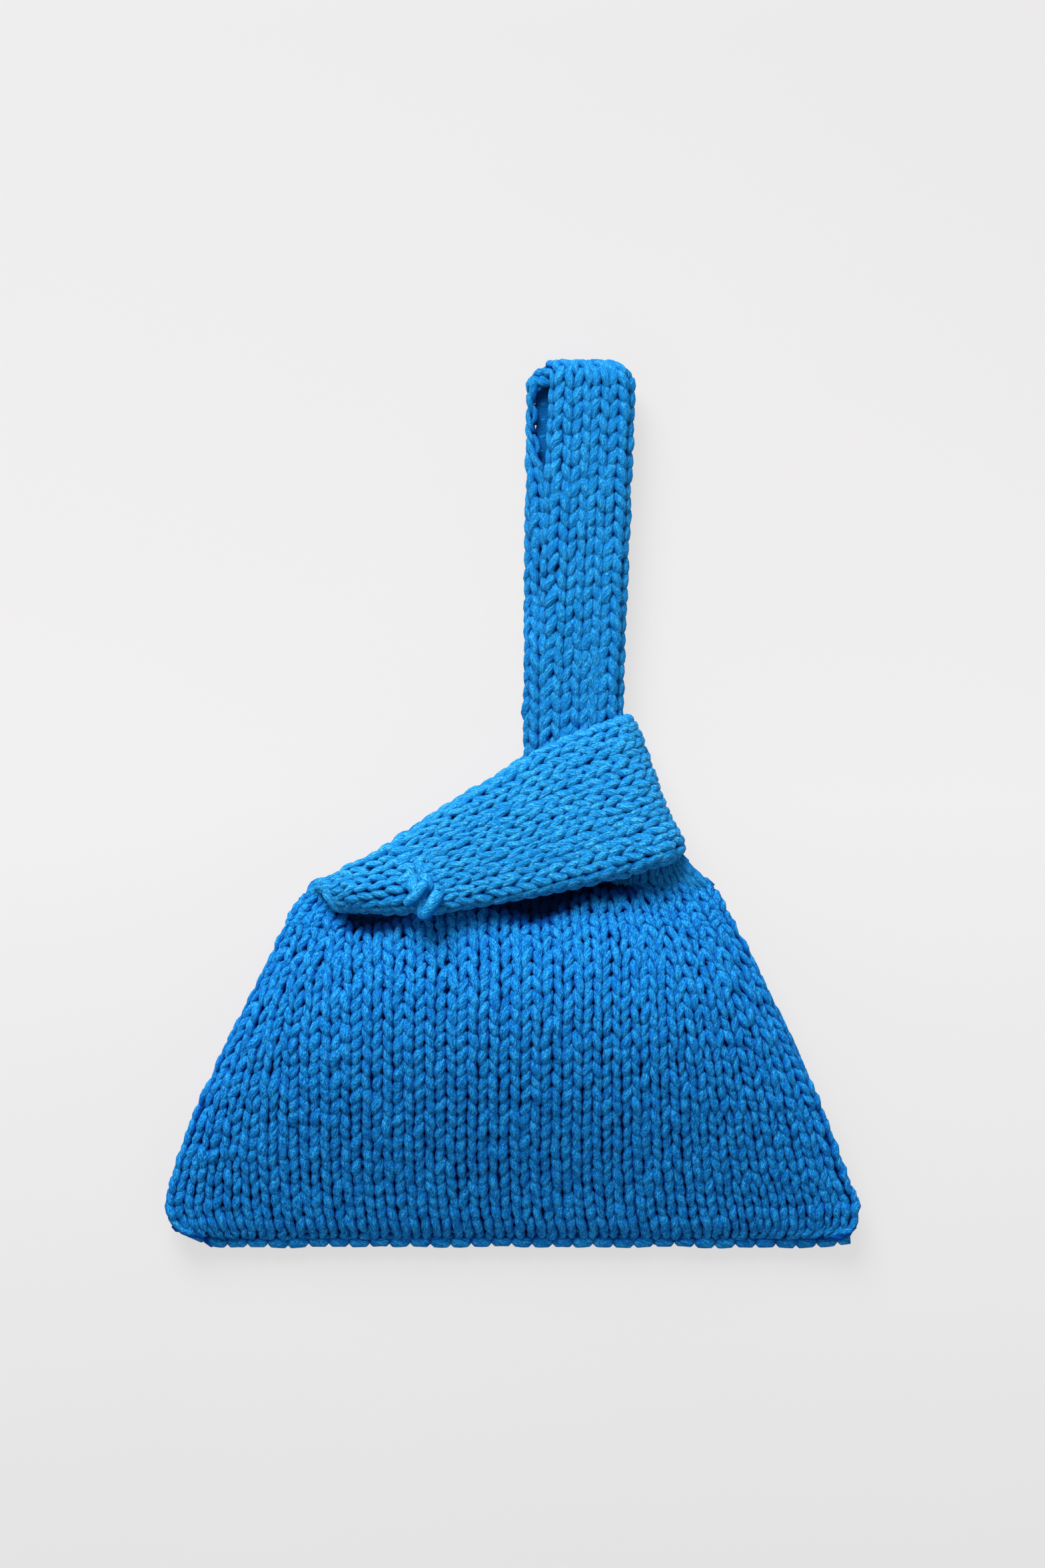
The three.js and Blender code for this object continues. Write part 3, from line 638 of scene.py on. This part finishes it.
class Strap:
    """A strap laid out by u, 0 to 1 over its knitted width, and by v, the distance in mm along its middle.
    Between curl_from and curl_to its edges start to roll in by curl mm, with this radius, hem mm inside the
    strap's outline. They roll less just past the stage where the strap gapes. With one edge, only the lower
    one rolls. The knit side is the other one where face is -1."""
    EVEN_OUT = 30.0  # distance over which the shoulder's stitches even out
    MOST_TURN = 3.0  # an edge rolls by this angle at most, and runs straight on
    GAPE_PAST, GAPE_SPREAD, GAPE_SHARE = 18.0, 25.0, 0.55
    LOOSE = 0.5
    PURL_ROWS, PURL_COLUMNS = 90, 31

    def __init__(self, point, stages, face, curl_from, curl_to, curl,
                 edges=2, gape=math.inf, radius=3.4, hem=1.8):
        self.point, self.face, self.curls, self.curl = point, face, (curl_from, curl_to), curl
        self.edges, self.radius, self.hem = edges, radius, hem
        self.across = np.linspace(0, 1, 41)
        rim = run_length(point(self.across, 0 * self.across))
        self.rim = rim / rim[-1]
        self.stages = np.linspace(-0.3, stages + 0.1, 160 * stages)
        low, middle, high = (point(0 * self.stages + a, self.stages) for a in (0.0, 0.5, 1.0))
        arc = run_length(middle)
        self.arc = arc - np.interp(0, self.stages, arc)
        self.length = np.interp(stages, self.stages, self.arc)
        self.wide = np.linalg.norm(high - low, axis=1)
        self.gape = np.interp(gape, self.stages, self.arc, right=math.inf) + self.GAPE_PAST
        self.full = self.measure(self.arc)[0]

    def measure(self, v):
        """Knitted width, flat width, rolled width and inset of each edge at v."""
        curled = smooth(v, *self.curls)
        rolled = curled * self.curl * (1 - swell(v, ((self.gape, self.GAPE_SPREAD, self.GAPE_SHARE),)))
        inset = curled * (self.radius + self.hem)
        flat = np.interp(v, self.arc, self.wide) - self.edges * inset
        return flat + self.edges * rolled, flat, rolled, inset

    def lay(self, u, v):
        """The points at u and v, and which way the fabric faces there."""
        stage = np.interp(v, self.arc, self.stages)
        full, flat, rolled, inset = self.measure(v)
        u = lerp(np.interp(u, self.rim, self.across), u, smooth(v, 0, self.EVEN_OUT))
        m = u * full - rolled
        inner = np.clip(m, 0, flat)
        across = (inset + inner) / np.interp(v, self.arc, self.wide)
        at = self.point(across, stage)
        up = self.face * normal_of(self.point, across, stage, 1e-3, 1e-3)
        out = unit(self.point(across + 1e-3, stage) - self.point(across - 1e-3, stage))
        out *= np.sign(m - inner)[:, None]
        past = np.abs(m - inner)[:, None]
        turn = np.minimum(past / self.radius, self.MOST_TURN)
        at = at + self.radius * np.sin(turn) * out - self.radius * (1 - np.cos(turn)) * up
        at = at + (past - self.radius * turn) * (np.cos(turn) * out - np.sin(turn) * up)
        return at, up * np.cos(turn) + out * np.sin(turn)

    def purl_side(self):
        v = np.repeat(np.linspace(-1, self.length, self.PURL_ROWS), self.PURL_COLUMNS)
        u = np.tile(np.linspace(0.04, 0.8 + 0.08 * self.edges, self.PURL_COLUMNS), self.PURL_ROWS)
        at, up = self.lay(u, v)
        return (at - PURL * up).reshape(self.PURL_ROWS, self.PURL_COLUMNS, 3)

    def knit(self, name, wales, row, first, last, half, reach, lean, steps=16, sides=8):
        """The strap's rows of stitches, from first mm past its start to last mm before its end."""
        edges = np.linspace(0, 1, wales + 1)
        count = int((self.length - first - last) / row)
        rows = [(edges, v, row, 0 * edges) for v in np.linspace(first, self.length - last, count + 1)]
        u, v, z, fat = knit_rows(rows, steps, reach, lean, self.LOOSE)
        stray = wander(len(u), DRIFT_EVERY, 0.2 / np.mean(self.wide))
        at, up = self.lay(u + stray, v + wander(len(v), DRIFT_EVERY, DRIFT))
        fat = fat * np.clip(self.measure(v)[0] / self.full.max(), 0.72, 1)
        # The strap's inside gets the painted shade of its face, and its upright sides are painted lighter
        # where they face up.
        piece = yarn_mesh(name, at, up, z, fat, half, 0.78 * half, sides, under=self.purl_side(), both=True)
        return piece


def hermite(a, leave, b, arrive, s):
    s = s[..., None]
    return (a * (2 * s**3 - 3 * s**2 + 1) + leave * (s**3 - 2 * s**2 + s)
            + b * (3 * s**2 - 2 * s**3) + arrive * (s**3 - s**2))


def loop_height(along, across):
    share = np.clip(along / LOOP_REACH, 0, 1)
    lift = lerp(GRAFT_LIFT, LOOP_LIFT, share) * (1 - across)
    crown = LOOP_CROWN * (1 - (2 * across - 1) ** 2)
    return LOOP_UPPER + GRAFT_RISE * (1 - share) + lift + crown


def loop_front(along, across):
    at = loop_plan(along, across)
    at[..., 2] = loop_height(along, across)
    return at


def loop_back(along, across):
    at = loop_plan(along, across)
    at[..., 2] = FLOOR_LAYER
    return at


def left_shoulder(point, y, strand, inner_leave, outer_leave, inner_arrive):
    """Knit that turns from a panel's rim into the short loop. It leaves the rim and arrives at the loop in
    these directions, at its inner and its outer edge."""
    inner = rim_angle(y, SHORT_SHOULDER, -1)
    inner_leave, outer_leave = np.array(inner_leave), np.array(outer_leave)

    def place(across, s):
        angle = lerp(inner, math.pi, across)
        end = strand(np.full_like(across, FLEX_START), across)
        span = np.linalg.norm(end - point(angle, np.full_like(across, y)), axis=-1)
        start = point(angle, y + span * np.minimum(s, 0)) + np.array([0, GAP, 0])
        leave = lerp(inner_leave, outer_leave, across[..., None]) * span[..., None]
        arrive = lerp(np.array(inner_arrive), loop_run, across[..., None]) * span[..., None]
        return hermite(start, leave, end, arrive, np.maximum(s, 0))

    return place


front_shoulder = left_shoulder(front_point, Y_MOUTH, loop_front, inner_leave=(-1.2, -0.4, 1.6),
                               outer_leave=(0.8, 0.32, 0.0), inner_arrive=(1.0, 0.05, 0.0))
back_shoulder = left_shoulder(back_point, Y_BACK_MOUTH, loop_back, inner_leave=(0.0, 0.8, 0.0),
                              outer_leave=(0.8, 0.35, 0.0), inner_arrive=loop_run)


def stub_point(across, stage):
    """The short front end: up to stage 1 its shoulder, then on to the seam."""
    along = lerp(FLEX_START, -SEAM_CLEAR, stage - 1)
    return np.where((stage < 1)[..., None], front_shoulder(across, stage), loop_front(along, across))


def loop_point(across, stage):
    """The long end: up to stage 1 its shoulder, to 2 along the floor, to 3 round the fold, then back to the
    seam."""
    radius = (loop_height(LOOP_REACH, across) - FLOOR_LAYER) / 2
    turn = LOOP_REACH - radius - HALF_KNIT - 3 * smooth(across, 0, 0.35)
    below = loop_back(lerp(FLEX_START, turn, stage - 1), across)
    angle = (stage - 2) * math.pi
    fold = loop_plan(turn, across) + (radius * np.sin(angle))[..., None] * loop_run
    fold[..., 2] = FLOOR_LAYER + radius - radius * np.cos(angle)
    along = lerp(turn, SEAM_CLEAR, stage - 3)
    above = loop_plan(along, across)
    above[..., 2] = lerp(loop_height(LOOP_REACH, across), loop_height(along, across), smooth(stage, 3, 3.6))
    shoulder = back_shoulder(across, stage)
    stage = stage[..., None]
    return np.where(stage < 1, shoulder, np.where(stage < 2, below, np.where(stage < 3, fold, above)))


stub = Strap(stub_point, 2, face=-1, curl_from=0, curl_to=20, curl=20.0, edges=1, radius=7.5, hem=5.0)
stub = stub.knit("short_handle_front_knit", wales=5, row=6.4, first=-1.0, last=2.0,
                 half=2.6, reach=0.84, lean=0.2)
stub.data.materials.append(strap_tape)
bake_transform(stub)
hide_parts("short_handle_front_root", "short_handle_front_flex")
band = Strap(loop_point, 4, face=1, curl_from=12, curl_to=42, curl=13.0, radius=4.6)
band = band.knit("short_handle_band_knit", wales=11, row=7.2, first=3.0, last=2.0,
                 half=2.35, reach=0.78, lean=0.24)
band.data.materials.append(strap_tape)
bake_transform(band)
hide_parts("short_handle_back_root", "short_handle_back_flex", "short_handle_band")


# Short loop's sewn seam
# The two ends are sewn together with the same tape in plump chain stitches, which stand up as a ridge. Its
# tail is tied off in a knot at the lower end.
def sewn_ridge(name, start, end, up, stitches, wide, half):
    """A column of plump uneven chain stitches over a seam from start to end."""
    u, v, z = chain(stitches)
    cross = unit(np.cross(end - start, up))
    u = u + wander(len(u), 8, 0.08)
    middle = start + (end - start) * (v / (stitches + 0.5))[:, None] + wide * u[:, None] * cross
    stand = 0.3 * wide * z + wander(len(z), 8, 0.4)
    piece = yarn_mesh(name, middle, np.broadcast_to(up, middle.shape), stand, 1 + wander(len(z), 8, 0.12),
                      half, 0.85 * half, sides=8, roll=0.4)
    piece.data.materials.append(strap_tape)
    return piece


low, high = (loop_front(np.array(0.0), np.array(across)) for across in (0.16, 1.02))
seam_up = np.cross(loop_run, unit(high - low))
ridge = sewn_ridge("short_handle_graft_yarn", low + 3.4 * seam_up, high - 3.2 * seam_up, seam_up,
                   stitches=4, wide=7.8, half=3.1)
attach(ridge, "short_loop")
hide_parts("short_handle_graft")

KNOT_BENDS = np.array([(4, 6.2, 0.5), (0.4, 0, 2.6), (-4, -6.4, 0), (-4.6, 2, -2.5), (-3.2, 10, 1.5),
                       (-7, 4, 2.6), (-12.5, -0.4, -1)])
KNOT_OFFSET = np.array([1.0, 3.5, 3.0])  # from the loop's lower corner
t = np.linspace(0, len(KNOT_BENDS) - 1, 90)
tail = [soften(np.interp(t, np.arange(len(KNOT_BENDS)), bends), 6) for bends in KNOT_BENDS.T]
middle = loop_front(np.array(0.0), np.array(0.0)) + KNOT_OFFSET + np.stack(tail, axis=1)
knot = yarn_mesh("tie_off_knot_yarn", middle, np.broadcast_to(seam_up, middle.shape), 0 * t,
                 1 + wander(len(t), 9, 0.1), half_wide=3.2, half_thick=2.6, sides=8, roll=0.3)
knot.data.materials.append(strap_tape)
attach(knot, "short_loop")
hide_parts("tie_off_knot")


# Long handle
# A strap knitted on from the right shoulder of both panels in the same tape. The front one is carried over
# the top and sewn to the back one. Both strands run through the short loop.
HANDLE_WIDTH, HANDLE_X, HANDLE_LEAN, BACK_LEAN, HANDLE_STAGGER = 38.2, 36.0, 5.2, 1.1, 9.2
HANDLE_FOLD_Y, HANDLE_FLEX, BACK_GRAFT_Y, Y_GATHER = 81.0, 30.0, 120.0, 26.0
FOLD_SQUEEZE = 4.0  # the strap is narrower by this much where it turns over
ROOT_TUCK, ROOT_SWING, ROOT_LEAVE, ROOT_ARRIVE = 60.0, 20.0, (50.0, 60.0), (70.0, 60.0)  # how a shoulder runs
Y_FLEX_LOW, Y_FLEX_HIGH = HANDLE_FOLD_Y - HANDLE_FLEX / 2, HANDLE_FOLD_Y + HANDLE_FLEX / 2
FOLD_RADIUS = (FRONT_STRAND - FLOOR_LAYER) / 2
Y_TURN = Y_TOP - FOLD_RADIUS - HALF_KNIT


def handle_plan(y, across, behind, z):
    lean = lerp(HANDLE_LEAN, BACK_LEAN, behind) * ((y - HANDLE_FOLD_Y) / (Y_TOP - HANDLE_FOLD_Y) - 0.5)
    return stack(HANDLE_X + lean - HANDLE_STAGGER * behind + (across - 0.5) * HANDLE_WIDTH, y, z)


def handle_front(y, across):
    return handle_plan(y, across, 0, FRONT_STRAND)


def handle_back(y, across):
    return handle_plan(y, across, 1, FLOOR_LAYER + LAYER * (1 - smooth(y, Y_FLEX_LOW, Y_FLEX_HIGH)))


def right_shoulder(point, y, strand, level, gather):
    """Knit that narrows from a panel's rim into a strand of the handle. It is level with the strand after
    that share of its run, and its outer edge swings in as strongly as gather says."""
    inner = rim_angle(y, LONG_SHOULDER, 1)

    def place(across, s):
        start = point(lerp(inner, 0, across), y + ROOT_TUCK * np.minimum(s, 0)) + np.array([0, GAP, 0])
        s = np.maximum(s, 0)
        end = strand(np.full_like(across, Y_GATHER), across)
        leave = stack(lerp(-ROOT_SWING, -gather, across), lerp(*ROOT_LEAVE, across), 0)
        arrive = stack(0, lerp(*ROOT_ARRIVE, across), 0)
        run = hermite(start, leave, end, arrive, s)
        run[..., 2] = lerp(start[..., 2], end[..., 2], smooth(s, 0, level))
        return run

    return place


front_root = right_shoulder(front_point, Y_MOUTH, handle_front, level=0.8, gather=68)
back_root = right_shoulder(back_point, Y_BACK_MOUTH, handle_back, level=0.3, gather=180)


def handle_point(across, stage):
    """The front strap: up to stage 1 its shoulder, to 2 the front strand, to 3 the fold, then down behind."""
    rising = handle_front(lerp(Y_GATHER, Y_TURN, stage - 1), across)
    angle = (stage - 2) * math.pi
    fold = handle_plan(Y_TURN + 0 * stage, across, smooth(stage, 2, 3), 0.0)
    fold[..., 0] -= (across - 0.5) * FOLD_SQUEEZE * np.sin(angle)
    fold[..., 1] += FOLD_RADIUS * np.sin(angle)
    fold[..., 2] = FLOOR_LAYER + FOLD_RADIUS + FOLD_RADIUS * np.cos(angle)
    falling = handle_back(lerp(Y_TURN, BACK_GRAFT_Y + SEAM_CLEAR, stage - 3), across)
    shoulder = front_root(across, stage)
    stage = stage[..., None]
    return np.where(stage < 1, shoulder, np.where(stage < 2, rising, np.where(stage < 3, fold, falling)))


def handle_end_point(across, stage):
    """The back strap: up to stage 1 its shoulder, then on to the seam."""
    rising = handle_back(lerp(Y_GATHER, BACK_GRAFT_Y - SEAM_CLEAR, stage - 1), across)
    return np.where((stage < 1)[..., None], back_root(across, stage), rising)


# The same tape again in a shaded copy: less painted shade between the stitches but darker painted lit and
# highlight tones, painted shade of the handle.
handle_tape = yarn_material("blue cotton tape of the handle",
                            deep=(0.0007, 0.11, 0.42), light=(0.0125, 0.24, 0.51), pale=(0.04, 0.33, 0.64))
handle = Strap(handle_point, 4, face=1, curl_from=25, curl_to=75, curl=16.0, gape=3)
handle = handle.knit("long_handle_knit", wales=7, row=7.2, first=4.0, last=2.0,
                     half=2.4, reach=0.88, lean=0.19)
handle.data.materials.append(handle_tape)
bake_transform(handle)
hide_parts("long_handle_front_root", "long_handle_front_flex", "long_handle_band")
handle_end = Strap(handle_end_point, 2, face=-1, curl_from=25, curl_to=75, curl=16.0)
handle_end = handle_end.knit("long_handle_back_knit", wales=7, row=7.2, first=3.0, last=2.0,
                             half=2.4, reach=0.88, lean=0.19, steps=12, sides=6)
handle_end.data.materials.append(handle_tape)
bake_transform(handle_end)
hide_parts("long_handle_back_root", "long_handle_back_flex", "long_handle_back_strap")


# Long handle's sewn seam
# The same ridge of chain stitches, smaller, where the two straps meet on the back of the handle. The tape is
# pulled tight, so that it lies flat under the handle.
left, right = (handle_back(np.array(BACK_GRAFT_Y), np.array(across)) for across in (0.1, 0.9))
back_ridge = sewn_ridge("long_handle_graft_yarn", left, right, np.array([0, 0, -1.0]),
                        stitches=4, wide=4.0, half=1.5)
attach(back_ridge, "long_handle")
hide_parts("long_handle_graft")


# Floor, light and camera
# A plain pale sheet under the bag, lit by a large soft window at the handle's end and seen straight from
# above. The sheet glows for camera, glossy and transmission rays, which keeps it pale and its shadows faint.
# The glow is stronger in the middle than at the ends, which is painted light, and it is left out under the
# middle of the bag, which paints shade there. Lengths are in metres.
SHEET_TONES = ((0.825, 0.812, 0.812, 1), (0.835, 0.822, 0.822, 1))
# Painted light: the glow's strength along the sheet.
GLOW_REACH, GLOW_STRENGTHS = 0.37, (0.90, 1.0, 0.88)  # from the lower end of the sheet to the upper one
bpy.ops.mesh.primitive_plane_add(size=6, location=(0, 0, -0.0006))
floor = bpy.context.object
floor.name = "floor"
paper = bpy.data.materials.new("pale paper")
paper.use_nodes = True
tree = paper.node_tree
sheet = tree.nodes["Principled BSDF"]
sheet.inputs["Roughness"].default_value = 0.95
grain = add_node(tree, "ShaderNodeTexNoise", Scale=40)
tone = add_node(tree, "ShaderNodeValToRGB")
for stop, colour in zip(tone.color_ramp.elements, SHEET_TONES):
    stop.color = colour
tree.links.new(grain.outputs["Fac"], tone.inputs["Fac"])
glow = add_node(tree, "ShaderNodeEmission")
tree.links.new(tone.outputs["Color"], sheet.inputs["Base Color"])
tree.links.new(tone.outputs["Color"], glow.inputs["Color"])

spot = add_node(tree, "ShaderNodeTexCoord")
apart = add_node(tree, "ShaderNodeSeparateXYZ")
tree.links.new(spot.outputs["Object"], apart.inputs["Vector"])
# Painted light: the glow is strongest in the middle of the sheet and weaker towards its ends.
fade = add_node(tree, "ShaderNodeValToRGB")
fade.color_ramp.elements.new(0.5)
for stop, strength in zip(fade.color_ramp.elements, GLOW_STRENGTHS):
    stop.color = (strength, strength, strength, 1)
tree.links.new(ramp(tree, apart.outputs["Y"], -GLOW_REACH, 0.0, GLOW_REACH, 1.0), fade.inputs["Fac"])
tree.links.new(fade.outputs["Color"], glow.inputs["Strength"])

body_middle = add_node(tree, "ShaderNodeMapping", Location=(0, 0.085, 0))
tree.links.new(spot.outputs["Object"], body_middle.inputs["Vector"])
away = add_node(tree, "ShaderNodeVectorMath", operation="LENGTH")
tree.links.new(body_middle.outputs["Vector"], away.inputs[0])
# No glow under the middle of the bag, which paints shade there.
bare = ramp(tree, away.outputs["Value"], 0.065, 0.0, 0.085, 0.84)
seen = add_node(tree, "ShaderNodeLightPath")
rays = combine(tree, "MAXIMUM", seen.outputs["Is Camera Ray"], seen.outputs["Is Glossy Ray"])
rays = combine(tree, "MAXIMUM", rays, seen.outputs["Is Transmission Ray"])
both = add_node(tree, "ShaderNodeMixShader")
tree.links.new(combine(tree, "MULTIPLY", rays, bare), both.inputs["Fac"])
tree.links.new(sheet.outputs["BSDF"], both.inputs[1])
tree.links.new(glow.outputs["Emission"], both.inputs[2])
tree.links.new(both.outputs["Shader"], tree.nodes["Material Output"].inputs["Surface"])
floor.data.materials.append(paper)

world = bpy.data.worlds.new("studio")
bpy.context.scene.world = world
world.use_nodes = True
world.node_tree.nodes["Background"].inputs["Color"].default_value = (0.95, 0.97, 1.0, 1)
world.node_tree.nodes["Background"].inputs["Strength"].default_value = 0.48

window = bpy.data.lights.new("window", "AREA")
window.shape, window.size, window.energy = "DISK", 1.5, 94
lamp = bpy.data.objects.new("window", window)
lamp.location = (-0.5, 1.8, 1.35)
lamp_tilt = math.atan2(math.hypot(lamp.location.x, lamp.location.y), lamp.location.z)
lamp_turn = math.atan2(-lamp.location.y, -lamp.location.x) - math.pi / 2
lamp.rotation_euler = (lamp_tilt, 0, lamp_turn)
bpy.context.collection.objects.link(lamp)

lens = bpy.data.cameras.new("camera")
lens.lens = 90
lens.sensor_width = 36
eye = bpy.data.objects.new("camera", lens)
eye.location = (0.0050, 0.0085, 1.877)
bpy.context.collection.objects.link(eye)
bpy.context.scene.camera = eye
bpy.context.scene.view_settings.view_transform = "Standard"
